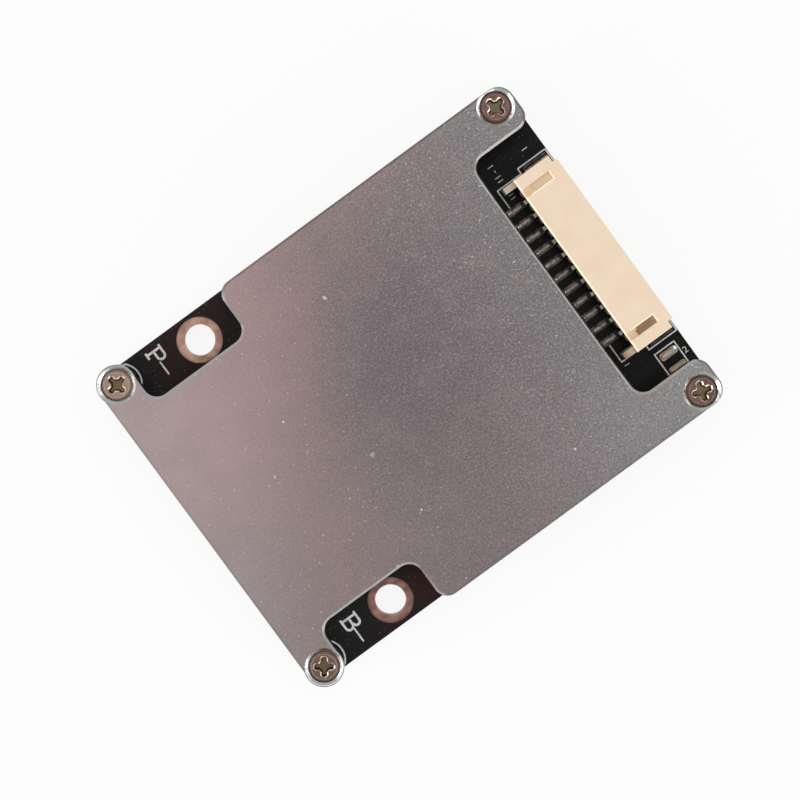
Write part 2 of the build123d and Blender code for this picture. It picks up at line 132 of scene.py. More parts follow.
class Finish(Recipe):
    """One surface finish. Its varying values are Flows, and its constants sit on the shader."""

    def __init__(self, name, **constants):
        self.material = bpy.data.materials.new(name)
        self.material.use_nodes = True
        super().__init__(self.material.node_tree)
        self.shader = self.tree.nodes["Principled BSDF"]
        self.measured = None
        self.paint(**constants)

    def place(self):
        """The place in the object's own coordinates, in metres."""
        return self.node("ShaderNodeTexCoord", output="Object")

    def axes(self):
        """The place along x, y and z in millimetres."""
        if self.measured is None:
            split = self.node("ShaderNodeSeparateXYZ", sockets={0: self.place()}).socket.node
            self.measured = [Flow(self, output) * PER_METRE for output in split.outputs]
        return self.measured

    def facing(self, axis):
        """How far the surface faces along +x, +y or +z."""
        normal = self.node("ShaderNodeNewGeometry", output="Normal")
        return self.node("ShaderNodeSeparateXYZ", sockets={0: normal}, output=axis)

    def grain(self, size_mm, detail, roughness=0.5, stretch=(1, 1, 1)):
        """Random grain from 0 to 1 with lumps of the size given."""
        place = self.node("ShaderNodeVectorMath", {"operation": "MULTIPLY"},
                          {0: self.place(), 1: stretch})
        return self.node("ShaderNodeTexNoise", None,
                         {"Vector": place, "Scale": PER_METRE / size_mm, "Detail": detail,
                          "Roughness": roughness}, "Fac")

    def step(self, value, low, high):
        """Rises smoothly from 0 at low to 1 at high."""
        return self.node("ShaderNodeMapRange", {"interpolation_type": "SMOOTHSTEP"},
                         {"Value": value, "From Min": low, "From Max": high})

    def tint(self, amount, first, second):
        """The first colour where amount is 0 and the second where it is 1."""
        first, second = [c if isinstance(c, Flow) else (*c, 1) for c in (first, second)]
        return self.node("ShaderNodeMix", {"data_type": "RGBA"},
                         {0: amount, 6: first, 7: second}, 2)

    def near(self, x, y, radius, blur=0.2):
        """1 within a radius of a place seen from above, and 0 a little outside it."""
        across, along = self.axes()[:2]
        away = distance(across - x, along - y)
        return 1 - self.step(away, radius * (1 - blur), radius * (1 + blur))

    def relief(self, height, depth_mm, strength=1.0):
        """Bumps of the depth given from a height between 0 and 1."""
        bump = self.node("ShaderNodeBump", None,
                         {"Height": height, "Distance": depth_mm * MM, "Strength": strength},
                         "Normal")
        self.paint(Normal=bump)

    def paint(self, **values):
        """Sets the shader's sockets to constants, or links varying values to them."""
        self.fill(self.shader, {key.replace("_", " "): value for key, value in values.items()})

    def dress(self, *names):
        """Puts the finish on CAD nodes."""
        for name in names:
            for slot in parts[name].material_slots:
                slot.material = self.material


mask = Finish("solder_mask_black", Specular_IOR_Level=0.07)
x_mm, y_mm, z_mm = mask.axes()
up = mask.facing(2)
edge = mask.step(up * up, 0.6, 0.2)
below = up < -0.5
dust = mask.step(mask.grain(0.26, 1), 0.66, 0.76) * mask.step(mask.grain(3.0, 2), 0.36, 0.6)
cloud = mask.step(mask.grain(5.0, 3) + x_mm * 0.012, 0.3, 0.62)
# Tracks under the mask run along the board, with a gap every few millimetres.
track = mask.step((y_mm * 2.2 + mask.grain(14.0, 1) * 9).wave(), -0.25, -0.05)
skin = mask.tint(cloud, (0.0220, 0.0105, 0.0115), (0.0125, 0.0100, 0.0105))
# Towards the connector the mask is painted darker, as painted shade between the plate and the
# housing.
shaded_by_connector = mask.tint(cloud, (0.0085, 0.0048, 0.0055), (0.0042, 0.0040, 0.0040))
skin = mask.tint(mask.step(x_mm, 0, 24), skin, shaded_by_connector)
# The mask is cooler at the terminals' corners, and has a reddish patch beside the B- ring.
cool = mask.step(x_mm + mask.step(y_mm, -8, 8) * 4.5, -18.5, -21.5)
skin = mask.tint(cool * 0.85, skin, (0.0085, 0.0092, 0.0100))
skin = mask.tint(mask.near(-13.4, -20.8, 1.7, 0.7) * 0.45, skin, (0.045, 0.011, 0.009))
skin = mask.tint(track * 0.2, skin, (0.016, 0.0125, 0.0115))
skin = mask.tint(dust * 0.42, skin, (0.26, 0.22, 0.19))
layers = mask.step((z_mm * 31).wave(), -0.2, 0.6)
sawn = mask.tint(layers, (0.054, 0.041, 0.026), (0.072, 0.055, 0.034))
# The underside carries tinned holes, in rows counted from outside the board, in two fields.
# It also shows the solder that holds the spacers and the rings.
apart = [(v + HOLES_START).fold(HOLE_PITCH / 2) for v in (x_mm, y_mm)]
from_hole = apart[0] * apart[0] + apart[1] * apart[1]
rows = (abs(y_mm) > HOLES_INNER_Y) * (abs(y_mm) < HOLES_OUTER_Y) * (abs(x_mm) < HOLES_END_X)
tinned = mask.step(from_hole, 0.13, 0.1) * rows
for side_y in (-1, 1):
    tinned = tinned + mask.near(RING_X, RING_Y * side_y, RING_SOLDER_R, 0.03)
    for side_x in (-1, 1):
        tinned = tinned + mask.near(SCREW_X * side_x, SCREW_Y * side_y, SPACER_SOLDER_R, 0.03)
tinned = tinned * below
old_tin = mask.tint(mask.grain(0.8, 3), (0.62, 0.61, 0.58), (0.40, 0.39, 0.36))
skin = mask.tint(tinned, skin, old_tin)
# The open middle of each hole is painted dark, as painted shade inside its bore.
bore_painted_shade = mask.step(from_hole, 0.03, 0.02) * rows * below
skin = mask.tint(bore_painted_shade, skin, (0.01, 0.01, 0.01))
mask.paint(Base_Color=mask.tint(edge, skin, sawn), Metallic=tinned * 0.9,
           Roughness=0.42 + dust * 0.4 + edge * 0.3 - tinned * 0.1)
mask.relief(track * 0.7 + mask.grain(0.6, 3) * 0.12 + layers * edge * 0.1, 0.03)
mask.dress("circuit_board")

# Printed legend: white epoxy ink screened on the mask, two hundredths of a millimetre thick.
# It marks the terminals, the screw holes, and the outlines of the connector and the sensor pads,
# and numbers the ways. The ink is a little rough, and paler or greyer from place to place.

BOARD_TOP = 1.6
INK_LINE = 0.18
INK_THICKNESS = 0.02
INK_STEP = 0.0004
INK_OVERLAP = 0.6
LETTER_STROKE = 0.3
MINUS_STROKE = 0.22
BOWL_RIGHT = 1.3
SCREW_CIRCLE_R, SCREW_CIRCLE_LINE = 2.6, 0.2
LEGEND_END_X, LEGEND_END_Y = 31.1, 23.4
LEGEND_CORNER_X, LEGEND_CORNER_Y = 30.1, 22.85
# Lines go from one place to another, x and y. The connector's are those of its +Y end.
CONNECTOR_LINES = ((23.3, 10.6, 23.3, 13.15), (23.3, 13.2, 26.9, 13.2),
                   (26.97, 13.2, 26.97, 13.97), (26.97, 13.97, 31.15, 13.97),
                   (31.2, 13.97, 31.2, 12.1))
SENSOR_LINES = ((27.14, -14.9, 30.1, -14.9), (27.14, -14.9, 27.14, -18.75),
                (30.1, -14.9, 30.1, -18.75), (27.14, -18.75, 30.1, -18.75))
# Each number has its lower left corner, its size and its turn in degrees.
NUMBERS = (("1", 29.5, 15.2, 1.15, 90), ("2", 30.35, -17.0, 1.2, 0),
           ("11 - 1", 24.75, 13.7, 1.15, 90), ("11", 24.75, 11.1, 1.0, 90),
           ("1", 24.0, -14.1, 1.0, 90))
WAYS = 11
PITCH = 2
WAY_NUMBERS_X, FIRST_WAY_NUMBER_Y, WAY_NUMBER_SIZE = 22.95, 9.7, 0.75
legend = []


def alone():
    """Leaves edit mode's tools nothing but the piece made next."""
    bpy.ops.object.select_all(action="DESELECT")


def edit():
    """Opens the piece in hand in edit mode, with all of it selected."""
    bpy.ops.object.mode_set(mode="EDIT")
    bpy.ops.mesh.select_all(action="SELECT")


def done():
    """Leaves edit mode."""
    bpy.ops.object.mode_set(mode="OBJECT")


def use(kind, **settings):
    """Adds a modifier to the piece in hand and applies it."""
    modifier = bpy.context.object.modifiers.new("work", kind)
    for key, value in settings.items():
        setattr(modifier, key, value)
    bpy.ops.object.modifier_apply(modifier="work")


def settle(piece):
    """Puts the piece's place into its mesh."""
    alone()
    piece.select_set(True)
    bpy.context.view_layer.objects.active = piece
    bpy.ops.object.transform_apply(location=True, rotation=True, scale=True)


def unite(pieces, name):
    """Joins pieces into one object at the origin."""
    for piece in pieces:
        settle(piece)
    alone()
    for piece in pieces:
        piece.select_set(True)
    bpy.context.view_layer.objects.active = pieces[0]
    bpy.ops.object.join()
    whole = bpy.context.object
    whole.name = name
    whole.data.name = name
    return whole


def fit(piece, finish):
    """Gives a new piece its finish and its body."""
    piece.data.materials.clear()
    piece.data.materials.append(finish.material)
    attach(piece, "root")


def ink_level():
    """The level of the next stroke, a hair above the last, so that crossing strokes stay clean."""
    return (BOARD_TOP + INK_STEP * (len(legend) + 1)) * MM


def ink_line(x0, y0, x1, y1, width=INK_LINE):
    """A straight line of ink from one place to another on the board."""
    alone()
    length = math.hypot(x1 - x0, y1 - y0)
    middle = ((x0 + x1) / 2 * MM, (y0 + y1) / 2 * MM, ink_level())
    bpy.ops.mesh.primitive_plane_add(size=1, location=middle,
                                     rotation=(0, 0, math.atan2(y1 - y0, x1 - x0)))
    line = bpy.context.object
    line.scale = ((length + width * INK_OVERLAP) * MM, width * MM, 1)
    return line


def ink_ring(x, y, outer, width, cuts):
    """A ring of ink, cut off where each cut's place and direction say."""
    alone()
    bpy.ops.mesh.primitive_circle_add(vertices=48, radius=outer * MM, fill_type="NGON",
                                      location=(x * MM, y * MM, ink_level()))
    ring = bpy.context.object
    edit()
    bpy.ops.mesh.inset(thickness=width * MM)
    bpy.ops.mesh.delete(type="FACE")
    for place, direction in cuts:
        bpy.ops.mesh.select_all(action="SELECT")
        bpy.ops.mesh.bisect(plane_co=(*[v * MM for v in place], 0), plane_no=(*direction, 0),
                            clear_inner=True)
    done()
    return ring


def ink_text(words, x, y, size, turn):
    """Plain numbers, set from their lower left corner."""
    alone()
    bpy.ops.object.text_add(location=(0, 0, 0))
    text = bpy.context.object
    text.data.body = words
    text.data.size = size * MM
    text.data.resolution_u = 3
    bpy.ops.object.convert(target="MESH")
    text = bpy.context.object
    text.rotation_euler.z = math.radians(turn)
    text.location = (x * MM, y * MM, ink_level())
    return text


def sideways_letter(foot_x, start_y, strokes, minus, bowls):
    """A letter and its minus sign, which read towards -Y with their tops towards +X.

    Strokes and minus go from one place to another, right and up. A bowl has its height and radius.
    """
    lines = [(*stroke, LETTER_STROKE) for stroke in strokes] + [(*minus, MINUS_STROKE)]
    for right0, up0, right1, up1, width in lines:
        legend.append(ink_line(foot_x + up0, start_y - right0,
                               foot_x + up1, start_y - right1, width))
    for height, radius in bowls:
        middle = (foot_x + height, start_y - BOWL_RIGHT)
        legend.append(ink_ring(*middle, radius, LETTER_STROKE, [(middle, (0, -1))]))


sideways_letter(-24.35, 22.85,
                ((0.42, 0.16, 0.42, 2.17), (0.12, 0.18, 0.88, 0.18), (0.12, 2.16, 1.3, 2.16),
                 (0.42, 1.16, 1.3, 1.16)),
                (2.0, 1.07, 3.8, 1.07), [(1.66, 0.665)])
sideways_letter(-24.5, -18.53,
                ((0.42, 0.16, 0.42, 2.2), (0.12, 0.18, 1.32, 0.18), (0.12, 2.2, 1.32, 2.2),
                 (0.42, 1.2, 1.32, 1.2)),
                (1.75, 1.04, 3.85, 1.04), [(0.68, 0.64), (1.75, 0.61)])
# The circles round the screw holes end before the board's edges and round its corners.
for side_x in (-1, 1):
    for side_y in (-1, 1):
        cuts = [((0, LEGEND_END_Y * side_y), (0, -side_y)),
                ((LEGEND_END_X * side_x, 0), (-side_x, 0)),
                ((LEGEND_CORNER_X * side_x, LEGEND_CORNER_Y * side_y), (-side_x, -side_y))]
        legend.append(ink_ring(SCREW_X * side_x, SCREW_Y * side_y,
                               SCREW_CIRCLE_R, SCREW_CIRCLE_LINE, cuts))
for side in (-1, 1):
    for x0, y0, x1, y1 in CONNECTOR_LINES:
        legend.append(ink_line(x0, y0 * side, x1, y1 * side))
for line in SENSOR_LINES:
    legend.append(ink_line(*line))
for number in NUMBERS:
    legend.append(ink_text(*number))
for way in range(WAYS):
    legend.append(ink_text(str(WAYS - way), WAY_NUMBERS_X, FIRST_WAY_NUMBER_Y - PITCH * way,
                           WAY_NUMBER_SIZE, 90))

printed = unite(legend, "printed_legend")
use("SOLIDIFY", thickness=INK_THICKNESS * MM, offset=1)
ink = Finish("legend_ink", Specular_IOR_Level=0.3)
wear = ink.step(ink.grain(0.35, 2), 0.35, 0.75)
ink.paint(Base_Color=ink.tint(wear, (0.74, 0.76, 0.74), (0.52, 0.55, 0.54)),
          Roughness=0.5 + wear * 0.25)
ink.relief(ink.grain(0.12, 1), 0.006)
fit(printed, ink)

# Ring terminals: bare copper collars pressed through the board and flared over its two faces.
# A cable lug is screwed or soldered on them. Copper darkens unevenly from the fingers and the air,
# and the edge of the hole, where the tool turned it over, stays bright.

LIP_START, LIP_END = 1.98, 2.16
RIM_START, RIM_END = 2.62, 2.85


def copper_finish(name, y, light, dark, stain):
    """Copper that is light, blotched dark, stained at its rim and bright at its lip."""
    copper = Finish(name, Metallic=1.0, Specular_IOR_Level=0.5)
    across, along = copper.axes()[:2]
    out = distance(across - RING_X, along - y)
    blotch = copper.step(copper.grain(1.6, 3), 0.38, 0.66)
    colour = copper.tint(blotch, light, dark)
    rim = copper.step(out, RIM_START, RIM_END)
    colour = copper.tint(rim * 0.6, colour, stain)
    lip = 1 - copper.step(out, LIP_START, LIP_END)
    colour = copper.tint(lip * 0.35, colour, tuple(c * 1.5 for c in light))
    turned = copper.step((out * 40).wave(), -1, 1)
    copper.paint(Base_Color=colour, Roughness=0.36 + blotch * 0.16 + rim * 0.1)
    copper.relief(turned * 0.2 + copper.grain(0.15, 2) * 0.5, 0.012)
    return copper


copper_finish("copper_terminal_p", RING_Y, (0.285, 0.172, 0.136), (0.235, 0.140, 0.109),
              (0.185, 0.108, 0.087)).dress("terminal_ring_p")
copper_finish("copper_terminal_b", -RING_Y, (0.205, 0.112, 0.091), (0.140, 0.077, 0.064),
              (0.090, 0.052, 0.043)).dress("terminal_ring_b")

# Sensor pads: two tinned areas beside the connector, for the leads of a heat sensor.
# The tin was left by dipping the board, so each pad carries a low shining dome of it.

SENSOR_PADS_X, SENSOR_PADS_Y = 28.68, (-15.75, -17.85)
SENSOR_PITCH = 2.1
PAD_TOP = 1.7
CROWN_INSET, FOOT_INSET = 0.2, 0.06


def pick(test):
    """In edit mode, selects the faces for whose normal the test holds."""
    mesh = bmesh.from_edit_mesh(bpy.context.object.data)
    bpy.ops.mesh.select_all(action="DESELECT")
    bpy.ops.mesh.select_mode(type="FACE")
    for face in mesh.faces:
        face.select_set(test(face.normal))
    bmesh.update_edit_mesh(bpy.context.object.data)


def solder_mound(x, y, length, width, height, crown):
    """A mound of solder with a flat foot and a rounded crown, wetted out to its pad's edge."""
    alone()
    bpy.ops.mesh.primitive_cube_add(size=1, location=(x * MM, y * MM, (PAD_TOP + height / 2) * MM))
    mound = bpy.context.object
    mound.scale = (length * MM, width * MM, height * MM)
    bpy.ops.object.transform_apply(location=False, rotation=False, scale=True)
    edit()
    pick(lambda normal: normal.z > 0.9)
    bpy.ops.transform.resize(value=(crown, crown, 1))
    bpy.ops.mesh.inset(thickness=min(length, width) * crown * CROWN_INSET * MM)
    pick(lambda normal: normal.z < -0.9)
    bpy.ops.mesh.inset(thickness=min(length, width) * FOOT_INSET * MM)
    done()
    use("SUBSURF", levels=2, render_levels=2)
    alone()
    mound.select_set(True)
    bpy.ops.object.shade_smooth()
    return mound


pad_tin = Finish("solder_dull", Metallic=1.0)
x_mm, y_mm = pad_tin.axes()[:2]
# Along each pad the tin is painted from pinkish to grey-green towards the front, as a painted
# reflection.
painted_light_to_front = pad_tin.step(x_mm, 27.4, 29.8)
off = (y_mm - SENSOR_PADS_Y[0]).fold(SENSOR_PITCH / 2)
tin = pad_tin.tint(painted_light_to_front, (0.44, 0.31, 0.265), (0.27, 0.29, 0.235))
tin = pad_tin.tint(pad_tin.step(pad_tin.grain(0.6, 2), 0.4, 0.7) * 0.5, tin, (0.36, 0.30, 0.22))
# The white spot at the +X end of the first pad is a painted highlight.
tin = pad_tin.tint(pad_tin.near(29.75, -15.6, 0.2), tin, (0.95, 1.0, 0.97))
tin = pad_tin.tint(pad_tin.step(off, 0.45, 0.52), tin, (0.012, 0.010, 0.008))
pad_tin.paint(Base_Color=tin, Roughness=0.52 + pad_tin.grain(0.4, 2) * 0.12)
pad_tin.relief(pad_tin.grain(0.5, 2), 0.02)
pad_tin.dress("sensor_solder_pads")
domes = [solder_mound(SENSOR_PADS_X, y, 2.8, 0.98, 0.2, 0.8) for y in SENSOR_PADS_Y]
fit(unite(domes, "sensor_pad_domes"), pad_tin)

# Power transistors, shunts, control chip and the balancing parts stand under the plate.
# Their cases are moulded black resin, their legs tinned copper sheet, their ends tinned ceramic.
# A soft grey pad carries the transistors' heat to the plate.

resin = Finish("black_moulding", Specular_IOR_Level=0.35)
speck = resin.step(resin.grain(0.3, 2), 0.3, 0.8)
resin.paint(Base_Color=resin.tint(speck, (0.020, 0.020, 0.022), (0.030, 0.030, 0.033)),
            Roughness=0.5 + speck * 0.18)
resin.relief(resin.grain(0.16, 2), 0.02)
cases = [name for name in parts if name.startswith("power_transistor") and name.endswith("case")]
resin.dress(*cases, "control_chip_case", "balance_transistors")


def sheet_finish(name, colour, rough):
    """Rolled sheet metal, with duller streaks along it."""
    metal = Finish(name, Metallic=1.0)
    streak = metal.step(metal.grain(0.5, 3, 0.6, (1, 0.2, 1)), 0.3, 0.75)
    dull = tuple(c * 0.72 for c in colour)
    metal.paint(Base_Color=metal.tint(streak, colour, dull), Roughness=rough + streak * 0.2)
    metal.relief(metal.grain(0.2, 2), 0.01)
    return metal


leads = [name for name in parts if name.endswith("leadframe")]
sheet_finish("tinned_sheet", (0.56, 0.54, 0.52), 0.3).dress(*leads, "control_chip_leads")
shunts = [name for name in parts if name.startswith("current_shunt")]
sheet_finish("shunt_alloy", (0.40, 0.35, 0.31), 0.38).dress(*shunts)

pad_rubber = Finish("heat_pad", Specular_IOR_Level=0.3)
fill = pad_rubber.step(pad_rubber.grain(0.25, 2), 0.35, 0.7)
pad_rubber.paint(Base_Color=pad_rubber.tint(fill, (0.26, 0.31, 0.36), (0.34, 0.39, 0.43)),
                 Roughness=0.75 + fill * 0.15)
pad_rubber.relief(pad_rubber.grain(0.3, 3), 0.03)
pad_rubber.dress("thermal_pad")

tan = Finish("ceramic_tan", Specular_IOR_Level=0.4)
fleck = tan.grain(0.2, 2)
tan.paint(Base_Color=tan.tint(fleck, (0.33, 0.22, 0.12), (0.24, 0.155, 0.085)),
          Roughness=0.4 + fleck * 0.2)
tan.relief(tan.grain(0.15, 2), 0.012)
tan.dress("filter_capacitors")

glaze = Finish("resistor_glaze", Specular_IOR_Level=0.5)
fleck = glaze.grain(0.25, 2)
glaze.paint(Base_Color=glaze.tint(fleck, (0.022, 0.022, 0.024), (0.034, 0.034, 0.036)),
            Roughness=0.28 + fleck * 0.2)
glaze.relief(glaze.grain(0.15, 2), 0.012)
glaze.dress("balance_resistors")

# Threaded spacers: turned brass, nickel plated, soldered upright in the board's corner holes.
# The plate's screws go into them, so they hold it level above the parts.
# They keep fine lathe rings.

nickel_bar = Finish("spacer_nickel", Metallic=1.0)
z_mm = nickel_bar.axes()[2]
turned = nickel_bar.step((z_mm * 45 + nickel_bar.grain(0.8, 2) * 3).wave(), -1, 1)
stain = nickel_bar.step(nickel_bar.grain(1.1, 3), 0.4, 0.7)
nickel_bar.paint(Base_Color=nickel_bar.tint(stain, (0.46, 0.44, 0.41), (0.33, 0.31, 0.28)),
                 Roughness=0.24 + turned * 0.1 + stain * 0.12)
nickel_bar.relief(turned, 0.008)
nickel_bar.dress("threaded_spacers")

# Connector contacts: tinned brass pins bent down behind the housing, each foot soldered to its pad.
# The solder rises in a small fillet at the toe and at the heel of each foot, where it shines;
# towards +Y the fillets carry a painted glint.

CONTACTS_Y = [PITCH * (WAYS // 2 - way) for way in range(WAYS)]
TOE_X, HEEL_X = 22.76, 24.98


def solder_finish(name, rough):
    """Solder still without its colour, and the clouds that dull it."""
    solder = Finish(name, Metallic=1.0)
    clouds = solder.step(solder.grain(0.5, 3), 0.35, 0.7)
    solder.paint(Roughness=rough + clouds * 0.22)
    solder.relief(solder.grain(0.22, 2), 0.012)
    return solder, clouds


contact_tin = Finish("contact_tin", Metallic=1.0)
streak = contact_tin.step(contact_tin.grain(0.4, 3), 0.3, 0.75)
x_mm, y_mm, z_mm = contact_tin.axes()
high = contact_tin.step(z_mm, 3.6, 4.3)
off = (y_mm + PITCH * 10).fold(PITCH / 2)
# The feet are painted dark, their flanks darker still, as painted shade between the plate and the
# housing.
shaded_foot_tin = contact_tin.tint(streak, (0.165, 0.137, 0.128), (0.100, 0.086, 0.079))
shaded_foot_tin = contact_tin.tint(contact_tin.step(off, 0.15, 0.22), shaded_foot_tin, (0.030, 0.026, 0.024))
# Where the contacts rise and bend into the housing, the tin is painted light beside the housing and
# dark further from it: painted light and shade.
by_housing = contact_tin.step(x_mm, 24.75, 25.1)
painted_light_bend_tin = contact_tin.tint(by_housing, (0.10, 0.095, 0.078), (0.27, 0.25, 0.21))
contact_tin.paint(Base_Color=contact_tin.tint(high, shaded_foot_tin, painted_light_bend_tin),
                  Roughness=0.3 + streak * 0.2)
contact_tin.relief(contact_tin.grain(0.2, 2), 0.01)
contact_tin.dress(*["connector_contact_%02d" % (way + 1) for way in range(WAYS)])

track_tin, clouds = solder_finish("solder_on_tracks", 0.3)
track_tin.paint(Base_Color=track_tin.tint(clouds, (0.055, 0.050, 0.042),
                                          (0.0341, 0.0310, 0.02604)))
track_tin.dress("connector_solder_pads")

fillets = []
for y in CONTACTS_Y:
    fillets.append(solder_mound(TOE_X, y, 0.36, 0.46, 0.3, 0.7))
    fillets.append(solder_mound(HEEL_X, y, 0.3, 0.6, 0.34, 0.45))
bright_solder = solder_finish("solder_bright", 0.16)[0]
# Fillets towards +Y are painted bright, as a painted glint.
glint = bright_solder.step(bright_solder.axes()[1], -6, 0)
bright_solder.paint(Base_Color=bright_solder.tint(glint, (0.22, 0.20, 0.18), (0.74, 0.73, 0.70)))
fit(unite(fillets, "contact_solder_fillets"), bright_solder)

# Solder tabs: tinned sheet brass angles that grip the housing's two ends.
# Each foot is soldered flat to the board, and a thin fillet of solder fills the angle beside it.

TAB_BRIGHT_Y, TAB_DARK_Y = 13.2, 13.32
tab_tin = Finish("tab_tin", Metallic=1.0)
y_mm = tab_tin.axes()[1]
streak = tab_tin.step(tab_tin.grain(0.5, 3, 0.6, (1, 0.2, 1)), 0.3, 0.75)
far_part = tab_tin.step(y_mm * y_mm, TAB_BRIGHT_Y * TAB_BRIGHT_Y, TAB_DARK_Y * TAB_DARK_Y)
upright = tab_tin.step(tab_tin.facing(2), 0.6, 0.3)
# The flat feet are painted dark and pinkish, as painted shade, and the upright faces light, as
# painted light.
tin = tab_tin.tint(streak, (0.20, 0.125, 0.118), (0.13, 0.085, 0.080))
tin = tab_tin.tint(far_part, tin, (0.012, 0.010, 0.010))
lit_upright_tin = tab_tin.tint(streak, (0.52, 0.48, 0.44), (0.38, 0.35, 0.32))
tab_tin.paint(Base_Color=tab_tin.tint(upright, tin, lit_upright_tin), Roughness=0.34 + streak * 0.2)
tab_tin.relief(tab_tin.grain(0.2, 2), 0.01)
tab_tin.dress("connector_solder_tab_p", "connector_solder_tab_b")
flanks = [solder_mound(29.2, 13.4 * side, 3.3, 0.5, 0.16, 0.7) for side in (-1, 1)]
fit(unite(flanks, "tab_solder_fillets"), track_tin)

# Connector housing: moulded beige nylon, open to the front for the plug.
# Nylon comes out of its mould satin and slightly mottled, and its slots carry painted shade.

HOUSING_TOP = 7.1
HOUSING_REAR = 25.2
SLOT_INNER, SLOT_OUTER, SLOT_END = 10.33, 11.4, 29.35
RAMP_END, WELL_START = 26.3, 26.6
RIM_WIDTH = 0.16
nylon = Finish("beige_nylon", Specular_IOR_Level=0.32, Subsurface_Weight=0.04,
               Subsurface_Scale=0.0006)
x_mm, y_mm, z_mm = nylon.axes()
aside = abs(y_mm)
mottle = nylon.step(nylon.grain(2.4, 3), 0.3, 0.75)
speck = nylon.step(nylon.grain(0.3, 1), 0.72, 0.8)
beige = nylon.tint(mottle, (0.845, 0.684, 0.520), (0.815, 0.652, 0.488))
beige = nylon.tint(speck * 0.2, beige, (0.45, 0.34, 0.24))
# The slots carry painted light and shade inside, the -Y one down to its hole, and the stubs at the
# rear carry painted shade.
in_slot = ((aside > SLOT_INNER) * (aside < SLOT_OUTER) * (x_mm < SLOT_END)
           * (z_mm < HOUSING_TOP - 0.08))
ramp = in_slot * nylon.step(x_mm, WELL_START, RAMP_END) * (z_mm > 6.4)
well = in_slot * nylon.step(x_mm, RAMP_END, WELL_START) * (z_mm < 6.65) * (z_mm > 4)
through = in_slot * (y_mm < 0) * (z_mm < 2.5)
stub = x_mm < HOUSING_REAR - 0.06
low_stub = stub * (y_mm < 0) * nylon.step(x_mm, HOUSING_REAR, HOUSING_REAR - 1.9)
beige = nylon.tint(ramp, beige, (0.83, 0.585, 0.385))
beige = nylon.tint(well, beige, nylon.tint(y_mm > 0, (0.42, 0.32, 0.19), (0.74, 0.58, 0.385)))
beige = nylon.tint(through, beige, (0.80, 0.58, 0.33))
beige = nylon.tint(stub * (y_mm > 0), beige, (0.70, 0.61, 0.49))
beige = nylon.tint(low_stub, beige, (0.36, 0.22, 0.11))
# The rims of the slots and of the rear wall carry a painted highlight.
by_slot = (aside > SLOT_INNER - RIM_WIDTH) * (aside < SLOT_INNER)
inner_rim = by_slot * (x_mm < SLOT_END + RIM_WIDTH) * (x_mm > 26)
end_rim = ((x_mm > SLOT_END) * (x_mm < SLOT_END + 0.18)
           * (aside > SLOT_INNER - RIM_WIDTH) * (aside < SLOT_OUTER))
rear_rim = (x_mm < HOUSING_REAR + 0.2) * (z_mm > HOUSING_TOP - 0.2)
painted_rim_highlight = ((inner_rim + end_rim) * (z_mm > HOUSING_TOP - 0.05) + rear_rim).capped()
nylon.paint(Base_Color=nylon.tint(painted_rim_highlight, beige, (1.0, 0.93, 0.72)), Roughness=0.46 + mottle * 0.1)
nylon.relief(nylon.grain(0.1, 2) * 0.6 + nylon.grain(1.2, 2) * 0.4, 0.008)
nylon.dress("connector_housing")

# Heatsink plate: milled from aluminium sheet, bead blasted and anodised, then its edges chamfered.
# Blasting leaves a fine grain, with painted sparkle in it. The chamfers and counterbores are cut
# last and shine, partly with painted highlights and reflections.
# Handling has left a few small bright dings. Painted light and reflection turn the plate from
# pinkish to blue-grey.

PLATE_TOP = 7.4
COUNTERBORE_R, COUNTERBORE_LIP_R = 2.37, 2.26
DARKEST_X, DARKEST_Y = 18, 8.4
CONNECTOR_EDGE_X = 22
P_EDGE_Y = 17.8
# Each ding has its place, its radius and how bright it is.
DINGS = ((-1.9, 15.1, 0.2, 0.55), (-1.75, 14.85, 0.13, 0.5), (-14.9, 5.8, 0.13, 0.7),
         (-19.8, 0.9, 0.12, 0.75), (-19.68, 1.1, 0.1, 0.6), (-8.5, -3.9, 0.3, 0.3),
         (-7.6, -12.9, 0.11, 0.9), (12.0, -18.0, 0.15, 0.7), (-17.9, 17.15, 0.16, 0.9),
         (-16.95, 16.95, 0.2, 1.0), (-14.1, -16.75, 0.15, 0.8))


def from_screws(finish):
    """How far a place lies from the middle of the nearest screw, in millimetres."""
    across, along = finish.axes()[:2]
    return distance(abs(across) - SCREW_X, abs(along) - SCREW_Y)


blasted = Finish("blasted_aluminium", Metallic=1.0)
x_mm, y_mm, z_mm = blasted.axes()
up = blasted.facing(2)
flat = blasted.step(up * up, 0.82, 0.95)
# Painted light and reflection drift over the plate: pinkish and lighter towards the terminals' end,
# and darkest between the middle and the connector.
painted_warm_light = blasted.step(x_mm - y_mm * 0.27, -2, -16.5)
painted_light_to_rear = blasted.step(x_mm - y_mm * 0.46, -10, -52.7)
painted_light_to_front = blasted.step(x_mm, -1.7, 33.3)
painted_light_to_top = blasted.step(y_mm - x_mm * 0.52, 4, 22)
across, along = x_mm - DARKEST_X, y_mm - DARKEST_Y
painted_dim_shade = 1 - blasted.step((across * across + along * along * 1.52).root(), 13.1, 40.7)
shade = blasted.tint(painted_warm_light, (0.147, 0.120, 0.125), (0.197, 0.146, 0.145))
shade = blasted.tint(painted_light_to_rear, shade, (0.310, 0.301, 0.306))
shade = blasted.tint(painted_light_to_front, shade, (0.194, 0.194, 0.194))
shade = blasted.tint(painted_light_to_top * 0.5, shade, (0.315, 0.215, 0.205))
shade = blasted.tint(painted_dim_shade * 0.25, shade, (0.012, 0.002, 0.010))
# A blue-grey spot near the middle is a painted reflection of the dark camera above.
shade = blasted.tint(blasted.near(2.5, 7.0, 8.0, 0.7) * 0.13, shade, (0.10, 0.10, 0.14))
drift = blasted.step(blasted.grain(5.5, 3), 0.35, 0.65)
shade = blasted.tint(drift * (0.3 - painted_warm_light * 0.16), shade, (0.128, 0.120, 0.122))
blush = blasted.step(blasted.grain(3.0, 2), 0.45, 0.7)
shade = blasted.tint(blush * (0.16 - painted_warm_light * 0.06), shade, (0.225, 0.165, 0.155))
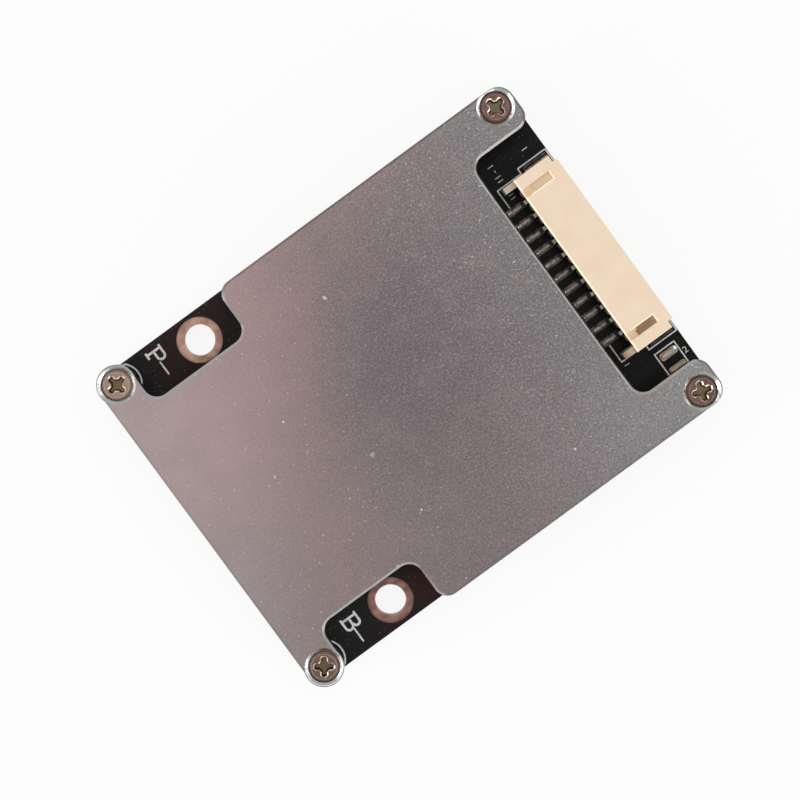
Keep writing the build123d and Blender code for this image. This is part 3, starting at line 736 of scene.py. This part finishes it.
# The blasted grain is stronger, and carries more painted sparkle, towards the connector.
pits = blasted.grain(0.23, 3, 0.75)
grit = 0.3 + blasted.step(x_mm, -24, 12) * 0.42 - painted_light_to_top * 0.16
shade = blasted.tint(blasted.step(pits, 0.5, 0.32) * grit * 0.75, shade, (0.062, 0.050, 0.053))
shade = blasted.tint(blasted.step(pits, 0.5, 0.7) * grit * 0.6, shade, (0.36, 0.33, 0.33))
fleck = blasted.step(blasted.grain(0.22, 1), 0.68, 0.76) * blasted.step(x_mm, 0, 22)
shade = blasted.tint(fleck * 0.6, shade, (0.60, 0.60, 0.62))
# Further painted sparkle lies towards the terminals' end.
painted_sparkle = blasted.step(blasted.grain(0.34, 1), 0.70, 0.78) * blasted.step(x_mm, 4, -10)
shade = blasted.tint(painted_sparkle * 0.45, shade, (0.50, 0.47, 0.47))
ding = sum(blasted.near(x, y, radius) * bright for x, y, radius, bright in DINGS).capped()
ding = ding * flat * blasted.step(blasted.grain(0.2, 1), 0.36, 0.5)
shade = blasted.tint(ding * 0.8, shade, (0.62, 0.60, 0.60))
# The chamfers are as the mill left them, but the outermost ones take the plate's own tone.
swirl = blasted.grain(0.4, 2)
cut = blasted.tint(swirl, (0.42, 0.41, 0.40), (0.30, 0.29, 0.28))
outermost = (blasted.step(y_mm * y_mm, 22.9 * 22.9, 23.2 * 23.2)
             + blasted.step(x_mm * x_mm, 30.3 * 30.3, 30.6 * 30.6)).capped()
cut = blasted.tint(outermost, cut, shade)
# The chamfer beside the connector carries a painted highlight along its top and painted shade below
# it.
connector_side = ((x_mm > CONNECTOR_EDGE_X - 0.5) * (x_mm < CONNECTOR_EDGE_X + 0.5)
                  * blasted.step(y_mm * y_mm, 17.5 * 17.5, 13 * 13))
cut = blasted.tint(connector_side * (z_mm > PLATE_TOP - 0.15), cut, (0.56, 0.60, 0.64))
cut = blasted.tint(connector_side * (z_mm < PLATE_TOP - 0.15), cut, (0.10, 0.10, 0.10))
# The chamfer along the P- notch is painted dark, as painted shade.
p_side_painted_shade = (y_mm > P_EDGE_Y - 0.5) * (y_mm < P_EDGE_Y + 0.5) * (x_mm > -24.6) * (x_mm < -13.6)
cut = blasted.tint(p_side_painted_shade * 0.8, cut, (0.10, 0.085, 0.085))
# The counterbores carry painted reflections of light from two sides, and are duller between them.
from_screw = from_screws(blasted)
bored = from_screw < COUNTERBORE_R
painted_reflection = blasted.facing(0) * 0.807 - blasted.facing(1) * 0.590
painted_reflection = blasted.step(painted_reflection * painted_reflection, 0.20, 0.42) * blasted.step(swirl, 0.7, 0.45)
# The outer lip of the -X -Y counterbore carries a painted highlight.
lit_lip = (from_screw > COUNTERBORE_LIP_R) * (x_mm < 0) * (y_mm < -SCREW_Y)
painted_reflection = (painted_reflection + lit_lip * 0.7).capped()
bored_cut = blasted.tint(swirl, (0.45, 0.48, 0.465), (0.27, 0.285, 0.275))
bored_cut = blasted.tint(painted_reflection, bored_cut, (0.92, 0.94, 0.95))
cut = blasted.tint(bored, cut, bored_cut)
wall = blasted.tint(bored, (0.22, 0.20, 0.20), (0.60, 0.56, 0.52))
cut = blasted.tint(blasted.step(up * up, 0.25, 0.05), cut, wall)
blasted.paint(Base_Color=blasted.tint(flat, cut, shade),
              Roughness=0.24 - bored * 0.1 + flat * 0.24 - ding * 0.2)
blasted.relief(pits * flat + blasted.grain(0.12, 1) * flat * 0.6, 0.02, 0.7)
blasted.dress("heatsink_plate")

# Plate screws: small pan head machine screws with a cross recess, steel, nickel plated.
# The driver has burnished the edges of each recess, and deep in it the screw is olive brown.

HEAD_TOP = 7.07
HEAD_FLAT_R = 1.5
nickel = Finish("screw_nickel", Metallic=1.0)
x_mm, y_mm, z_mm = nickel.axes()
from_middle = from_screws(nickel)
in_flat = from_middle < HEAD_FLAT_R
deep = nickel.step(z_mm, HEAD_TOP - 0.1, HEAD_TOP - 0.45)
patch = nickel.step(nickel.grain(0.9, 3), 0.35, 0.7)
# The two screws beside the terminals are painted paler, most of all the P- one, as a painted
# reflection.
painted_pale_reflection = (x_mm < 0) * (0.35 + (y_mm > 0) * 0.55)
plated = nickel.tint(patch, (0.092, 0.050, 0.044), (0.062, 0.034, 0.031))
plated = nickel.tint(painted_pale_reflection, plated, (0.20, 0.135, 0.105))
slope = nickel.step(nickel.facing(2), 0.95, 0.8) * in_flat
plated = nickel.tint(slope * 0.5, plated, (0.24, 0.165, 0.13))
# The rounded edge of each head is painted lighter, as painted light, so that it keeps the head's
# own tone.
shoulder = nickel.step(from_middle, 1.45, 1.6)
shoulder_painted_light = nickel.tint(painted_pale_reflection, (0.26, 0.170, 0.150), (0.42, 0.335, 0.285))
plated = nickel.tint(shoulder, plated, shoulder_painted_light)
plated = nickel.tint(deep * in_flat, plated, (0.105, 0.080, 0.050))
spared = nickel.step(nickel.grain(0.55, 2), 0.35, 0.65)
nickel.paint(Base_Color=nickel.tint(slope * (1 - deep) * spared, plated, (0.60, 0.50, 0.42)),
             Roughness=0.22 + patch * 0.12 + deep * 0.15 - slope * 0.1 + shoulder * 0.4)
nickel.relief(nickel.grain(0.2, 2), 0.008)
nickel.dress("heatsink_screws")

# Floor: a white sheet that the camera and shiny surfaces see as plain white.
# It keeps a part of the board's own shadow.

FLOOR_BELOW = 0.02
FLOOR_SIZE = 6
alone()
bpy.ops.mesh.primitive_plane_add(size=FLOOR_SIZE, location=(0, 0, -FLOOR_BELOW * MM))
floor = bpy.context.object
floor.name = "floor"


def looked_at(recipe):
    """1 for what the camera sees directly, in a reflection or through glass."""
    rays = [recipe.node("ShaderNodeLightPath", output=name)
            for name in ("Is Camera Ray", "Is Glossy Ray", "Is Transmission Ray")]
    return (rays[0] + rays[1] + rays[2]).capped()


paper = bpy.data.materials.new("floor_paper")
paper.use_nodes = True
paper.node_tree.nodes.clear()
sheet = Recipe(paper.node_tree)
lit = sheet.node("ShaderNodeBsdfDiffuse", None, {"Color": (0.86, 0.86, 0.86, 1)})
white = sheet.node("ShaderNodeEmission", None, {"Strength": 1.0})
both = sheet.node("ShaderNodeMixShader", None, {0: looked_at(sheet) * 0.88, 1: lit, 2: white})
sheet.node("ShaderNodeOutputMaterial", None, {"Surface": both})
floor.data.materials.append(paper)

# Light: a soft white room and three soft panels. One is wide and low on the -Y side,
# one smaller and low at the terminals' end, and one hangs high above the board.

world = bpy.data.worlds.new("soft_room")
bpy.context.scene.world = world
world.use_nodes = True
world.node_tree.nodes.clear()
room = Recipe(world.node_tree)
soft = room.node("ShaderNodeBackground", None, {"Color": (1.0, 0.985, 0.975, 1), "Strength": 0.60})
white = room.node("ShaderNodeBackground", None, {"Color": (1, 1, 1, 1), "Strength": 1.0})
both = room.node("ShaderNodeMixShader", None, {0: looked_at(room), 1: soft, 2: white})
room.node("ShaderNodeOutputWorld", None, {"Surface": both})


def lamp(name, place, width, height, power, colour=(1, 1, 1)):
    """A soft panel of light that faces the board."""
    light = bpy.data.lights.new(name, "AREA")
    light.shape = "RECTANGLE"
    light.size = width
    light.size_y = height
    light.energy = power
    light.color = colour
    panel = bpy.data.objects.new(name, light)
    panel.location = place
    panel.rotation_euler = (-Vector(place)).to_track_quat("-Z", "Y").to_euler()
    bpy.context.scene.collection.objects.link(panel)


lamp("low_front_panel", (0.10, -0.62, 0.20), 0.9, 0.3, 1.8)
lamp("low_left_panel", (-0.62, 0.12, 0.22), 0.4, 0.25, 2.4, (1, 0.985, 0.97))
lamp("high_panel", (0.12, 0.10, 0.75), 0.5, 0.5, 1.1)

# Camera: nearly straight above the board, turned so that the board stands on its corner.
# Its place, its turn and its focal length were worked out from the board's corners and screws.

FOCAL_PIXELS = 2170.03
FRAME_PIXELS = 800
SENSOR_MM = 36.0
camera_place = Vector((2.665, 7.524, 272.955)) * MM
camera_right = Vector((0.80714328, -0.59034046, 0.00422742))
camera_back = Vector((0.01677407, 0.03009109, 0.9994064))
camera_up = camera_back.cross(camera_right)
lens = bpy.data.cameras.new("camera")
lens.sensor_width = SENSOR_MM
lens.lens = FOCAL_PIXELS / FRAME_PIXELS * SENSOR_MM
lens.clip_start = 0.01
lens.clip_end = 20
camera = bpy.data.objects.new("camera", lens)
turn = Matrix((camera_right, camera_up, camera_back)).transposed()
camera.matrix_world = Matrix.Translation(camera_place) @ turn.to_4x4()
bpy.context.scene.collection.objects.link(camera)
bpy.context.scene.camera = camera
bpy.context.scene.view_settings.view_transform = "Standard"
